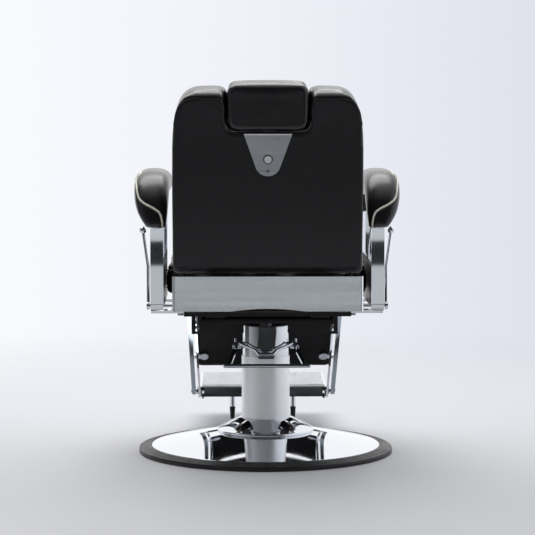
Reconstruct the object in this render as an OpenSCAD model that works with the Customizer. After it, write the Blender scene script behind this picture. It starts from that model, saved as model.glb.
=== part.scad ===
// Hydraulic barber chair with a reclining back, a rising leg rest and a sliding, tilting headrest.
// Millimetres. Origin on the floor at the centre of the base, +Z up, the sitter faces -Y.

/* [Base] */
// Outer radius of the rubber base ring
base_r = 345; // [330:1:360]
// Radius where the chrome cover meets the rubber ring
cover_r = 311.5; // [300:0.5:320]
// Height of the rubber ring's outer wall
ring_wall_h = 11; // [9:0.5:14]
// Height of the chrome cover at its outer edge
cover_edge_h = 19; // [16:0.5:22]
// Height of the chrome cover under the collar
cover_top_h = 57; // [50:1:62]
// Outer radius of the collar's rim
collar_r = 130.5; // [122:0.5:140]
// Height of the collar where it meets the column
collar_top_h = 94; // [88:1:100]

/* [Column] */
// Outer radius of the column tube
column_r = 65.5; // [62:0.5:68]
// Height of the column tube's upper end
column_top = 263; // [250:1:270]
// Outer radius of the chrome pump shroud
shroud_r = 63.5; // [61:0.5:65]
// Height of the shroud's upper end
shroud_top = 345; // [338:1:348]
// Radius of the lifting ram
ram_r = 17; // [15:0.5:18]
// Height of the ram's upper end with the seat lowered
ram_top = 398; // [395:1:399]

/* [Pump pedal] */
// Height of the pedal's pivot
pedal_z = 289; // [284:1:292]
// Distance of the foot bar behind the column's axis
pedal_reach = 215; // [200:1:220]
// Height of the foot bar
pedal_bar_z = 259.5; // [255:0.5:264]
// Half length of the foot bar
pedal_bar_half = 116; // [105:1:125]

/* [Seat] */
// Half width of the seat cushion
seat_half_w = 268; // [250:1:269]
// Front edge of the seat cushion
seat_front = -300; // [-310:1:-280]
// Rear edge of the seat cushion
seat_rear = 172; // [160:1:176]
// Height of the seat cushion's top
seat_top = 535; // [520:1:550]
// Height of the seat cushion's underside
seat_low = 442; // [442:1:446]

/* [Backrest] */
// Distance of the recline hinge behind the column's axis
hinge_y = 265; // [262:1:266]
// Height of the recline hinge
hinge_z = 500; // [498:1:502]
// Lean of the backrest at rest, in degrees
back_lean = 8; // [6:0.5:9]
// Half width of the backrest
back_half_w = 245.5; // [235:0.5:246]
// Distance along the backrest from its hinge to the top of the cushion
back_len = 492; // [470:1:500]
// Half width of the notch for the headrest
notch_half_w = 111; // [108:1:118]
// Distance along the backrest from its hinge to the bottom of the notch
notch_z = 384; // [380:1:386]

/* [Armrests] */
// Inner edge of the armrest pads
pad_in = 253.5; // [252:0.5:260]
// Outer edge of the armrest pads
pad_out = 349; // [340:1:355]
// Height of the armrest pads' top
pad_top = 771; // [760:1:780]
// Inner edge of the chrome arm bands
band_in = 270; // [268:1:272]
// Width of the chrome arm bands
band_w = 33.5; // [30:0.5:36]
// Height of the top edge of the side panels
side_panel_top = 528; // [500:1:560]

/* [Leg rest] */
// Distance of the leg rest's pivot in front of the column's axis, negative towards the front
leg_y = -180; // [-182:1:-178]
// Height of the leg rest's pivot
leg_z = 378; // [376:1:379]
// Position of the footrest's pivot, negative towards the front
foot_y = -400; // [-405:1:-395]
// Height of the footrest's pivot
foot_z = 110; // [106:1:114]
// Front edge of the tread plate
tread_front = -690; // [-700:1:-660]

/* [Hidden] */
$fn = 64;

chrome = [0.78, 0.80, 0.83];
steel = [0.62, 0.65, 0.68];
black_steel = [0.07, 0.07, 0.08];
rubber = [0.13, 0.13, 0.14];
leather = [0.05, 0.05, 0.055];
plywood = [0.62, 0.47, 0.30];
bronze = [0.62, 0.48, 0.22];

// A shaft in its bearing
run_gap = 0.05;
// An opened pivot, which only has to stay clear
open_gap = 0.4;
eps = 0.5;

disc_h = 6;
disc_r = 306;
cover_in = 118;
pin_r = 6;
hinge_r = 8;
shaft_y = 262;
shaft_z = 424;
shaft_r = 5;
lever_end = [323.5, 230.5, 614];
crank_len = 60;
crank_y = hinge_y;
crank_z = hinge_z - crank_len;
crank_r = 5;
rail_in = 172;
rail_out = 182;
plate_low = 374;
rail_low = 380;
board_low = 430;
front_low = 304;
rod_in = 184;
rod_out = 190;
strut_in = 192;
strut_t = 6;
crank_in = 200;
back_arm_in = 202;
bracket_in = 211;
side_t = 6;
arm_in = 206;
arm_t = 12;
// The leg rest's side members lean inwards by this much on their way down
arm_splay = 10.5;
// The lower link of the leg rest stands off its arms by this much
link_dy = 18;
link_dz = -12;
leg_len = norm([foot_y - leg_y, foot_z - leg_z]);
leg_angle = atan2(leg_y - foot_y, leg_z - foot_z);
link_pin_r = 3.5;
foot_hub = 178;
bar_rise = 11;
leg_pad_rear = 8;
post_x = 89.6;
post_front = -500;
post_low = 49;
back_pad_rear = 40;
board_rear = 26;
board_front = 10;
cushion_front = -65;
back_low = 14;
post_y = 18;
tilt_z = 440;
button_z = 316;
screw_z = 286;

// ---- helpers ----

module both_sides() {
    children();
    mirror([1, 0, 0]) children();
}

// A cylinder along X
module x_rod(x, y, z, r, len) {
    translate([x, y, z]) rotate([0, 90, 0]) cylinder(r = r, h = len);
}

// A round rod between two points
module rod(p, q, r) {
    d = q - p;
    translate(p) rotate([0, acos(d[2] / norm(d)), atan2(d[1], d[0])])
        cylinder(r = r, h = norm(d), $fn = 32);
}

// A bent rod through several points, with a ball a little fuller than the rod at each bend
module bent_rod(points, r) {
    for (i = [1:len(points) - 1]) rod(points[i - 1], points[i], r);
    for (i = [1:len(points) - 2]) translate(points[i]) sphere(r * 1.08, $fn = 32);
}

// A flat link's outline between two points of the side view, given as [y, z]
module link_2d(p, q, r) {
    d = q - p;
    translate(p) circle(r);
    translate(q) circle(r);
    translate(p) rotate(atan2(d[1], d[0])) translate([0, -r]) square([norm(d), 2 * r]);
}

// Extrudes a side-view outline [y, z] across X, starting at x
module across(x, w) {
    translate([x, 0, 0]) rotate([90, 0, 90]) linear_extrude(w) children();
}

// A box with its vertical edges rounded
module round_box(x, y, z, r) {
    w = x[1] - x[0];
    l = y[1] - y[0];
    h = z[1] - z[0];
    translate([x[0] + r, y[0], z[0]]) cube([w - 2 * r, l, h]);
    translate([x[0], y[0] + r, z[0]]) cube([w, l - 2 * r, h]);
    for (i = [x[0] + r, x[1] - r], j = [y[0] + r, y[1] - r])
        translate([i, j, z[0]]) cylinder(r = r, h = h);
}

// Places children in the backrest's own frame: hinge at the origin, Z up along the back
module in_back() {
    translate([0, hinge_y, hinge_z]) rotate([-back_lean, 0, 0]) children();
}

// Outline of the backrest seen from behind, with round upper corners and the headrest notch
module back_outline(half_w, low, high, r, notch_half) {
    notch_r = 18;
    difference() {
        union() {
            translate([-half_w, low]) square([2 * half_w, high - low - r]);
            translate([r - half_w, low]) square([2 * (half_w - r), high - low]);
            for (s = [-1, 1]) translate([s * (half_w - r), high - r]) circle(r);
        }
        translate([-notch_half, notch_z + notch_r]) square([2 * notch_half, high]);
        translate([notch_r - notch_half, notch_z]) square([2 * (notch_half - notch_r), high]);
        for (s = [-1, 1])
            translate([s * (notch_half - notch_r), notch_z + notch_r]) circle(notch_r);
    }
}

// Extrudes a rear-view outline of the back from y0 to y1
module back_slab(y0, y1) {
    translate([0, y1, 0]) rotate([90, 0, 0]) linear_extrude(y1 - y0) children();
}

// ---- base ----

module base_disc() {
    color(steel) cylinder(r = disc_r, h = disc_h, $fn = 128);
}

// Rubber ring with three raised ribs on its slope
module base_ring() {
    ribs = 3;
    run = base_r - cover_r;
    rise = cover_edge_h - ring_wall_h;
    rib_h = 1.4;
    slope = [for (i = [0:ribs * 4]) let (t = i / (ribs * 4))
        [base_r - run * t, ring_wall_h + rise * t + (i % 4 == 1 || i % 4 == 2 ? rib_h : 0)]];
    color(rubber) rotate_extrude($fn = 128) polygon(concat(
        [[disc_r, 0], [base_r, 0]], slope, [[cover_r, disc_h], [disc_r, disc_h]]));
}

// Shallow spun dome
function cover_z(r) = cover_edge_h
    + (cover_top_h - cover_edge_h) * (1 - pow((r - cover_in) / (cover_r - cover_in), 1.15));

module base_cover() {
    steps = 14;
    wall = 3;
    top = [for (i = [0:steps]) let (r = cover_in + (cover_r - cover_in) * i / steps) [r, cover_z(r)]];
    under = [for (i = [steps:-1:0])
        let (r = cover_in + (cover_r - wall - cover_in) * i / steps) [r, cover_z(r) - wall]];
    color(chrome) rotate_extrude($fn = 128)
        polygon(concat(top, [[cover_r, disc_h], [cover_r - wall, disc_h]], under));
}

module base_collar() {
    rim_low = cover_z(collar_r);
    rim_in = collar_r - 6;
    color(chrome) rotate_extrude($fn = 128) polygon([
        [collar_r, rim_low], [collar_r, rim_low + 6], [collar_r - 3, rim_low + 8],
        [column_r + 10, collar_top_h - 3], [column_r + 3, collar_top_h],
        [column_r + 0.1, collar_top_h], [column_r + 0.1, collar_top_h - 4],
        [column_r + 8, collar_top_h - 7], [rim_in, rim_low + 3], [rim_in, cover_z(rim_in)]
    ]);
}

// ---- column and pump ----

module column_tube() {
    color(steel) difference() {
        translate([0, 0, disc_h]) cylinder(r = column_r, h = column_top - disc_h, $fn = 128);
        translate([0, 0, disc_h - 1]) cylinder(r = column_r - 3, h = column_top, $fn = 128);
    }
}

module pump_shroud() {
    spigot = 28;
    color(chrome) difference() {
        union() {
            translate([0, 0, column_top])
                cylinder(r = shroud_r, h = shroud_top - column_top, $fn = 128);
            translate([0, 0, column_top - spigot])
                cylinder(r = column_r - 3, h = spigot, $fn = 128);
        }
        translate([0, 0, column_top - spigot - 1]) cylinder(r = shroud_r - 3, h = 200, $fn = 128);
        both_sides() x_rod(shroud_r - 20, 0, pedal_z, pin_r, 40);
    }
}

module shroud_cap() {
    color(black_steel) difference() {
        union() {
            translate([0, 0, shroud_top]) cylinder(r = shroud_r - 0.5, h = 3);
            translate([0, 0, shroud_top - 6]) cylinder(r = shroud_r - 3.1, h = 6);
        }
        cylinder(r = ram_r + 1, h = 400);
    }
}

module pump_cylinder() {
    color(steel) difference() {
        translate([0, 0, disc_h]) cylinder(r = 32, h = 316);
        translate([0, 0, 20]) cylinder(r = 26, h = 400);
    }
}

module oil_reservoir() {
    color(steel) difference() {
        translate([0, 0, disc_h]) cylinder(r = 54, h = 226);
        translate([0, 0, disc_h - 1]) cylinder(r = 51, h = 300);
    }
}

module cylinder_gland() {
    color(bronze) difference() {
        union() {
            translate([0, 0, 302]) cylinder(r = 26, h = 20);
            translate([0, 0, 322]) cylinder(r = 32, h = 6);
        }
        cylinder(r = ram_r + run_gap, h = 400);
    }
}

module pedal_pins() {
    color(steel) both_sides() {
        x_rod(54, 0, pedal_z, pin_r, 34);
        x_rod(88, 0, pedal_z, 9, 3);
    }
}

// ---- pump pedal ----

module pedal_yoke() {
    hub_r = 9;
    block_half = 21;
    block_y = 74;
    color(chrome) difference() {
        union() {
            both_sides() {
                x_rod(68, 0, pedal_z, hub_r, 19.5);
                bent_rod([[74, 2, pedal_z + 4], [70, 38, pedal_z + 9], [28, 73, pedal_z - 5],
                          [18, 81, pedal_z - 18]], 3.5);
                rod([82, 0, pedal_z + 5], [83, 0, pedal_z + 19], 2.6);
            }
            translate([-block_half, block_y, pedal_z - 27]) cube([2 * block_half, 14, 16]);
        }
        both_sides() x_rod(60, 0, pedal_z, pin_r + run_gap, 40);
    }
}

module pedal_arms() {
    w = 9.5;
    t = 7;
    top = [78, 0, pedal_z];
    low = [100, pedal_reach, pedal_bar_z];
    d = low - top;
    color(chrome) both_sides() difference() {
        translate(top) rotate([0, acos(d[2] / norm(d)), atan2(d[1], d[0])])
            translate([-t / 2, -w / 2, 0]) cube([t, w, norm(d)]);
        x_rod(60, 0, pedal_z, 9, 40);
        x_rod(60, pedal_reach, pedal_bar_z, 5.25, 80);
    }
}

module pedal_bar() {
    r = 5.25;
    half = pedal_bar_half - r;
    color(chrome) {
        x_rod(-half, pedal_reach, pedal_bar_z, r, 2 * half);
        for (x = [-half, half]) translate([x, pedal_reach, pedal_bar_z]) sphere(r);
    }
}

// ---- lifting ram ----

module ram_rod() {
    color(steel) translate([0, 0, 72]) cylinder(r = ram_r, h = ram_top - 72);
}

module piston_head() {
    color(black_steel) translate([0, 0, 52]) cylinder(r = 26 - run_gap, h = 20);
}

module ram_flange() {
    color(steel) difference() {
        translate([0, 0, 364]) cylinder(r = ram_r + 3, h = 6.5);
        cylinder(r = ram_r, h = 400);
    }
}

// ---- seat frame ----

module swivel_socket() {
    color(black_steel) difference() {
        translate([0, 0, 371]) cylinder(r = 34, h = 38);
        translate([0, 0, 370]) cylinder(r = ram_r + run_gap, h = ram_top - 369);
    }
}

module swivel_plate() {
    color(black_steel) difference() {
        translate([-rail_in, -141, plate_low]) cube([2 * rail_in, 381, rail_low - plate_low]);
        cylinder(r = 34, h = 400);
    }
}

module side_rails() {
    color(black_steel) both_sides()
        translate([rail_in, -141, plate_low])
            cube([rail_out - rail_in, 381, board_low - plate_low]);
}

module pivot_lugs() {
    lug_rear = -145;
    color(black_steel) both_sides() {
        difference() {
            translate([rail_in, -200, front_low])
                cube([rail_out - rail_in, 200 + lug_rear, board_low - front_low]);
            x_rod(rail_in - 1, leg_y, leg_z, hinge_r + run_gap, 20);
        }
        x_rod(rail_out - 1, leg_y + link_dy, leg_z + link_dz, link_pin_r, strut_in + strut_t + 1 - rail_out);
    }
}

module front_plate() {
    slot_low = 312;
    slot_top = 374;
    color(black_steel) difference() {
        translate([-204, -145, front_low]) cube([408, 4, board_low - front_low]);
        both_sides() translate([rail_out, -150, slot_low])
            cube([rod_out + 2.5 - rail_out, 20, slot_top - slot_low]);
    }
}

module rear_crossbar() {
    low = 398;
    color(black_steel) {
        translate([-217, 240, low]) cube([434, 50, 10]);
        both_sides() {
            translate([110, 290, low + 2]) cube([50, 52, 6]);
            translate([110, 338, low + 8]) cube([50, 4, 60]);
        }
    }
}

module hinge_brackets() {
    color(black_steel) both_sides() difference() {
        union() {
            across(bracket_in, side_t) link_2d([hinge_y, hinge_z], [hinge_y, crank_z], 12);
            translate([bracket_in, 242, 408]) cube([side_t, 42, 36]);
        }
        x_rod(bracket_in - 6, hinge_y, hinge_z, hinge_r, 20);
        x_rod(bracket_in - 6, shaft_y, shaft_z, shaft_r + run_gap, 20);
    }
}

module hinge_pins() {
    color(steel) both_sides() {
        x_rod(back_arm_in - 3, hinge_y, hinge_z, hinge_r, 18);
        x_rod(bracket_in + side_t, hinge_y, hinge_z, 11, 4);
    }
}

// The room the push rods need under the seat when the back is down
module rod_slots(front, low, top) {
    both_sides() translate([rail_out, front, low])
        cube([rod_out + 2 - rail_out, seat_rear + 10 - front, top - low]);
}

module seat_board() {
    color(plywood) difference() {
        round_box([-235, 235], [-288, 165], [board_low, seat_low], 30);
        rod_slots(100, board_low - 1, seat_low + 1);
    }
}

module seat_cushion() {
    color(leather) difference() {
        round_box([-seat_half_w, seat_half_w], [seat_front, seat_rear], [seat_low, seat_top], 34);
        rod_slots(136, seat_low - 1, seat_low + 6);
    }
}

// A rectangle centred on X whose two rear corners are round, seen from above
module plan_2d(half, y0, y1, r) {
    translate([-half, y0]) square([2 * half, y1 - y0 - r]);
    translate([r - half, y0]) square([2 * (half - r), y1 - y0]);
    for (s = [-1, 1]) translate([s * (half - r), y1 - r]) circle(r);
}

// Chrome panel across the back of the seat, with short returns and an arched lower edge
module rear_apron() {
    low = 416.5;
    high = 506.5;
    wall = 3;
    depth = 8;
    arch_r = 662;
    arch_h = 7;
    half = back_half_w;
    rear = 345;
    color(chrome) difference() {
        translate([0, 0, low]) linear_extrude(high - low) difference() {
            plan_2d(half, rear - depth, rear, depth - 1);
            plan_2d(half - wall, rear - 2 * depth, rear - wall, depth - 1 - wall);
        }
        translate([0, rear + 10, low + arch_h - arch_r]) rotate([90, 0, 0])
            cylinder(r = arch_r, h = 40, $fn = 256);
    }
}

// ---- armrests ----

// Chrome band bent into a loop under the armrest pad, seen from the side as [y, z]
module band_2d() {
    t = 8;
    rear = 280;
    front = -128;
    low = 409;
    rear_top = 626.5;
    front_top = 696;
    r = 20;
    module corner(y, turn) {
        translate([y, low + r]) rotate(turn) intersection() {
            difference() {
                circle(r);
                circle(r - t);
            }
            square(r);
        }
    }
    translate([rear - t, low + r]) square([t, rear_top - low - r]);
    translate([front, low + r]) square([t, front_top - low - r]);
    translate([front + r, low]) square([rear - front - 2 * r, t]);
    corner(rear - r, -90);
    corner(front + r, 180);
}

module arm_band() {
    across(band_in, band_w) band_2d();
}

module arm_band_left() {
    color(chrome) arm_band();
}

module arm_band_right() {
    color(chrome) mirror([1, 0, 0]) arm_band();
}

// A thin rounded bar across the armrest pad: one cross line of its hull
module pad_line(x0, x1, y, z, r) {
    x_rod(x0, y, z, r, x1 - x0);
}

// Padded armrest whose rear end rolls down onto the band
module arm_pad() {
    mid_z = (pad_top + 695) / 2;
    half = (pad_top - 695) / 2;
    hull($fn = 32) {
        pad_line(pad_in + 8, pad_out - 20, -165, mid_z - 4, half - 6);
        pad_line(pad_in, pad_out, 0, mid_z, half);
        pad_line(pad_in, pad_out - 2, 120, mid_z, half);
    }
    hull($fn = 32) {
        pad_line(pad_in, pad_out - 2, 120, mid_z, half);
        pad_line(pad_in + 1, pad_out - 8, 214, mid_z - 12, half - 4);
    }
    hull($fn = 32) {
        pad_line(pad_in + 1, pad_out - 8, 214, mid_z - 12, half - 4);
        pad_line(pad_in + 6, pad_out - 18, 247, 684, 28);
        pad_line(pad_in + 8.5, pad_out - 37, 270, 643, 16);
    }
}

module arm_pad_left() {
    color(leather) arm_pad();
}

module arm_pad_right() {
    color(leather) mirror([1, 0, 0]) arm_pad();
}

// Painted side panels that close the lower part of the armrest bands
module side_panels() {
    low = 417;
    color(black_steel) both_sides()
        translate([band_in, -108, low]) cube([8, 344, side_panel_top - low]);
}

// Straps that carry the arm bands from the seat rails
module arm_brackets() {
    low = 401;
    color(chrome) both_sides() for (y = [198, -110])
        difference() {
            translate([rail_out, y, low]) cube([band_in + band_w - rail_out, 38, 8]);
            translate([227, y + 19, low - 1]) cylinder(r = 4, h = 10);
        }
}

module frame_bolts() {
    color(steel) {
        both_sides() for (y = [198, -110]) translate([227, y + 19, 394]) {
            cylinder(r = 8, h = 7, $fn = 6);
            cylinder(r = 4, h = 18);
        }
        for (x = [-120, 120], y = [-80, 80]) translate([x, y, plate_low - 6])
            cylinder(r = 9, h = 6, $fn = 6);
    }
}

// ---- recline levers ----

module lever_shaft() {
    color(steel) x_rod(-314, shaft_y, shaft_z, shaft_r, 628);
}

module recline_levers() {
    color(chrome) both_sides() difference() {
        union() {
            x_rod(306, shaft_y, shaft_z, 10, 8);
            bent_rod([[310, shaft_y, shaft_z + 2], [311, 242, 526], lever_end], 4);
        }
        x_rod(300, shaft_y, shaft_z, shaft_r, 20);
    }
}

module lever_knobs() {
    color(chrome) both_sides() difference() {
        translate([324, 230, 619]) sphere(9.5);
        rod([311, 242, 526], lever_end, 4);
    }
}

// ---- backrest ----

module back_board() {
    color(plywood) in_back() difference() {
        back_slab(board_front, board_rear)
            back_outline(back_half_w - 18, back_low + 6, back_len - 40, 50, notch_half_w + 6);
        both_sides() translate([202, 0, 0]) cube([6, 40, 200]);
        translate([-23, 0, 230]) cube([46, 40, 200]);
    }
}

// Front cushion, with a roll along its upper rear edge
module back_cushion() {
    roll_z = 470;
    roll_rear = 34;
    color(leather) in_back() difference() {
        union() {
            back_slab(cushion_front, board_front)
                back_outline(back_half_w, back_low, back_len, 66, notch_half_w);
            intersection() {
                back_slab(board_front - eps, roll_rear)
                    back_outline(back_half_w, back_low, back_len, 66, notch_half_w);
                translate([-300, board_front - 1, roll_z]) cube([600, 60, 60]);
            }
        }
        both_sides() translate([200, -15, 0]) cube([10, 40, 76]);
        translate([-23, 9, 228]) cube([46, 10, 200]);
    }
}

module back_panel() {
    color(leather) in_back() difference() {
        back_slab(board_rear, back_pad_rear)
            back_outline(back_half_w, back_low, 469, 62, notch_half_w);
        translate([0, 0, button_z]) rotate([-90, 0, 0]) cylinder(r = 12, h = 80);
        translate([0, 0, screw_z]) rotate([-90, 0, 0]) cylinder(r = 2, h = 80);
    }
}

// Flat arms from the back's board to the hinge and on to the pins that pull the leg rest
module back_arms() {
    color(black_steel) both_sides() {
        difference() {
            union() {
                across(back_arm_in, side_t) link_2d([hinge_y, hinge_z], [crank_y, crank_z], 9);
                in_back() across(back_arm_in, side_t) {
                    circle(14);
                    link_2d([0, 0], [post_y, 72], 7);
                    translate([board_front + 1, 70]) square([14, 130]);
                }
            }
            x_rod(back_arm_in - 7, hinge_y, hinge_z, hinge_r + run_gap, 20);
        }
        x_rod(rod_in - 1, crank_y, crank_z, crank_r, back_arm_in + 1 - rod_in);
    }
}

// Brushed plate behind the headrest, its lower end round
module headrest_plate() {
    top_half = 62;
    end_r = 33;
    end_z = 272.5 + end_r;
    side_x = end_r * cos(15.3);
    side_z = end_z - end_r * sin(15.3);
    color(steel) in_back() difference() {
        back_slab(back_pad_rear, back_pad_rear + 3) union() {
            polygon([[-side_x, side_z], [side_x, side_z], [top_half, 382], [-top_half, 382]]);
            translate([0, end_z]) circle(end_r);
        }
        translate([0, 0, button_z]) rotate([-90, 0, 0]) cylinder(r = 10.5, h = 80);
        translate([0, 0, screw_z]) rotate([-90, 0, 0]) cylinder(r = 2, h = 80);
    }
}

module plate_screw() {
    color(steel) in_back() translate([0, board_rear, screw_z]) rotate([-90, 0, 0]) {
        cylinder(r = 2, h = 18);
        translate([0, 0, 17]) cylinder(r = 4, h = 2);
    }
}

module post_guide() {
    color(black_steel) in_back() difference() {
        translate([-22, board_front + 0.5, 232]) cube([44, 15, 151]);
        translate([-15.3, post_y - 3.3, 200]) cube([30.6, 6.6, 300]);
    }
}

// ---- headrest ----

module headrest_post() {
    color(chrome) in_back() difference() {
        union() {
            translate([-15, post_y - 3, 240]) cube([30, 6, 190]);
            x_rod(-15, post_y, tilt_z, 10, 30);
            translate([-15, post_y - 3, 425]) cube([30, 6, 10]);
        }
        x_rod(-20, post_y, tilt_z, 5, 40);
    }
}

module tilt_pin() {
    color(steel) in_back() x_rod(-30, post_y, tilt_z, 5, 60);
}

module headrest_pad() {
    half_w = 103.5;
    low = 391.5;
    high = 515;
    color(leather) in_back() difference() {
        back_slab(-55, 44) {
            translate([22 - half_w, low]) square([2 * (half_w - 22), high - low]);
            translate([-half_w, low + 22]) square([2 * half_w, high - low - 44]);
            for (x = [-1, 1], z = [low + 22, high - 22]) translate([x * (half_w - 22), z]) circle(22);
        }
        translate([-45, 5, low - 1]) cube([90, 36, 71]);
    }
}

// Ears that hang from the headrest's inner plate onto the tilt pin
module headrest_bracket() {
    color(black_steel) in_back() difference() {
        union() {
            translate([-44, 6, 456]) cube([88, 34, 5]);
            both_sides() {
                translate([20, post_y - 10, tilt_z]) cube([6, 20, 17]);
                x_rod(20, post_y, tilt_z, 10, 6);
            }
        }
        x_rod(-40, post_y, tilt_z, 5 + run_gap, 80);
    }
}

module release_button() {
    color(chrome) in_back() translate([0, board_rear + 6, button_z]) rotate([-90, 0, 0])
        cylinder(r = 9.5, h = 13.5);
}

// ---- leg rest ----

// Places children with Z down the leg rest's arms and Y out of its front face
module in_leg() {
    translate([0, leg_y, leg_z]) rotate([180 - leg_angle, 0, 0]) children();
}

// A flat member that runs down the leg rest from [y, z] and leans inwards on its way
module leg_bar(y, z, x, t, w) {
    lean = atan(arm_splay / leg_len);
    translate([x, y, z]) rotate([180 - leg_angle, 0, 0]) rotate([0, -lean, 0])
        across(0, t) link_2d([0, 0], [0, leg_len], w / 2);
}

// Side arms, each with its footrest pin
module legrest_arms() {
    color(chrome) both_sides() {
        difference() {
            leg_bar(leg_y, leg_z, arm_in, arm_t, 24);
            x_rod(arm_in - 10, leg_y, leg_z, hinge_r, 40);
            x_rod(arm_in - 30, foot_y, foot_z, pin_r, 60);
        }
        x_rod(foot_hub - 7.5, foot_y, foot_z, pin_r, 39);
    }
}

// Pivot shaft with the two cranks that the push rods turn
module legrest_shaft() {
    color(steel) {
        x_rod(-219, leg_y, leg_z, hinge_r, 438);
        both_sides() {
            across(crank_in, 5) link_2d([leg_y, leg_z], [leg_y, leg_z - crank_len], 9);
            x_rod(rod_in - 1, leg_y, leg_z - crank_len, crank_r, crank_in + 2 - rod_in);
        }
    }
}

module legrest_pad() {
    color(leather) in_leg() round_box([-196, 196], [leg_pad_rear, leg_pad_rear + 40], [62, 252], 14);
}

// Round-ended tabs that screw the pad to the arms
module pad_brackets() {
    t = 4;
    u = 210;
    color(chrome) in_leg() both_sides() {
        translate([171, leg_pad_rear - t, u - 7]) cube([28, t, 14]);
        translate([171, leg_pad_rear, u]) rotate([90, 0, 0]) cylinder(r = 12.5, h = t);
    }
}

// ---- footrest ----

// Cross bar with a hub at each end and a lug for the lower strut pin
module footrest_bar() {
    lug_t = 6;
    color(chrome) difference() {
        union() {
            translate([lug_t - foot_hub, foot_y - 12, foot_z - 17])
                cube([2 * (foot_hub - lug_t), 24, 17 + bar_rise]);
            both_sides() {
                across(foot_hub - lug_t, lug_t)
                    link_2d([foot_y, foot_z], [foot_y + link_dy, foot_z + link_dz], 9);
                x_rod(foot_hub - lug_t, foot_y, foot_z, bar_rise, lug_t + 14);
                x_rod(foot_hub - 1, foot_y + link_dy, foot_z + link_dz, link_pin_r, 11);
            }
        }
        both_sides() x_rod(foot_hub - 8, foot_y, foot_z, pin_r + run_gap, 40);
    }
}

// Tread plate with raised ribs from side to side
module tread_plate() {
    rear = foot_y + 12;
    pitch = 9.5;
    base = foot_z + bar_rise;
    color(steel) {
        translate([-183, tread_front, base]) cube([366, rear - tread_front, 4]);
        for (y = [tread_front + pitch:pitch:rear - pitch])
            translate([-178, y, base + 3]) cube([356, 4, 3]);
    }
}

module footrest_posts() {
    color(chrome) both_sides()
        translate([post_x, post_front, post_low]) cylinder(r = 8.5, h = foot_z + bar_rise - post_low);
}

module post_tips() {
    tip_low = 12;
    color(rubber) both_sides() translate([post_x, post_front, tip_low])
        cylinder(r1 = 6.25, r2 = 8.5, h = post_low - tip_low);
}

// Lower links that keep the footrest level
module leg_struts() {
    color(chrome) both_sides() difference() {
        leg_bar(leg_y + link_dy, leg_z + link_dz, strut_in, strut_t, 12);
        x_rod(strut_in - 5, leg_y + link_dy, leg_z + link_dz, link_pin_r + run_gap, 20);
        x_rod(strut_in - 20, foot_y + link_dy, foot_z + link_dz, link_pin_r + open_gap, 30);
    }
}

// Rods from the backrest's cranks to the leg rest's cranks
module push_rods() {
    color(black_steel) both_sides() difference() {
        across(rod_in, rod_out - rod_in) {
            link_2d([crank_y, crank_z], [leg_y, leg_z - crank_len], 6);
            for (p = [[crank_y, crank_z], [leg_y, leg_z - crank_len]]) translate(p) circle(9);
        }
        x_rod(rod_in - 2, crank_y, crank_z, crank_r + run_gap, 20);
        x_rod(rod_in - 2, leg_y, leg_z - crank_len, crank_r + open_gap, 20);
    }
}

base_disc();
base_ring();
base_cover();
base_collar();
column_tube();
pump_shroud();
shroud_cap();
pump_cylinder();
oil_reservoir();
cylinder_gland();
pedal_pins();
pedal_yoke();
pedal_arms();
pedal_bar();
ram_rod();
piston_head();
ram_flange();
swivel_socket();
swivel_plate();
side_rails();
pivot_lugs();
front_plate();
rear_crossbar();
hinge_brackets();
hinge_pins();
seat_board();
seat_cushion();
rear_apron();
arm_band_left();
arm_band_right();
arm_pad_left();
arm_pad_right();
side_panels();
arm_brackets();
frame_bolts();
lever_shaft();
recline_levers();
lever_knobs();
back_board();
back_cushion();
back_panel();
back_arms();
headrest_plate();
plate_screw();
post_guide();
headrest_post();
tilt_pin();
headrest_pad();
headrest_bracket();
release_button();
legrest_arms();
legrest_shaft();
legrest_pad();
pad_brackets();
footrest_bar();
tread_plate();
footrest_posts();
post_tips();
leg_struts();
push_rods();
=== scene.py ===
import math

import bmesh
import bpy
from mathutils import Matrix, Vector
from mathutils.bvhtree import BVHTree
from mathutils.kdtree import KDTree


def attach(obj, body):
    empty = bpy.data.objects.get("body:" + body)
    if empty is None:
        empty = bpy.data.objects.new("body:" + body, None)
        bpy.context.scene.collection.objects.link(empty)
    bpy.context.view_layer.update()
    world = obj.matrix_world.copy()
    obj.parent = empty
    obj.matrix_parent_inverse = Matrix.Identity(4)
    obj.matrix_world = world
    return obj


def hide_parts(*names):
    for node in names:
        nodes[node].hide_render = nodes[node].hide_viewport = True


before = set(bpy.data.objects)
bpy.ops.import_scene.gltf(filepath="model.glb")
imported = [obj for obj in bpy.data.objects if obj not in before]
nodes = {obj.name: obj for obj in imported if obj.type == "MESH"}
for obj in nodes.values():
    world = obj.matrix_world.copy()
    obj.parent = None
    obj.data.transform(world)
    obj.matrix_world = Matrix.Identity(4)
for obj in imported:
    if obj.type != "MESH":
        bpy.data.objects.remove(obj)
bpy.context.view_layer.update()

MM = 0.001
scene = bpy.context.scene

# ---------------------------------------------------------------- frames of the tilted parts
LEAN = math.radians(8)
BACK = Matrix(((1, 0, 0, 0), (0, math.cos(LEAN), math.sin(LEAN), 0.265),
               (0, -math.sin(LEAN), math.cos(LEAN), 0.500), (0, 0, 0, 1)))
# the leg rest hangs from its pivot towards the footrest's pivot, 220 mm forward and 268 mm down
LEG_A = math.atan2(220, 268)
LEG = Matrix(((1, 0, 0, 0), (0, -math.cos(LEG_A), -math.sin(LEG_A), -0.180),
              (0, math.sin(LEG_A), -math.cos(LEG_A), 0.378), (0, 0, 0, 1)))
FLAT = Matrix.Identity(4)


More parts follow.
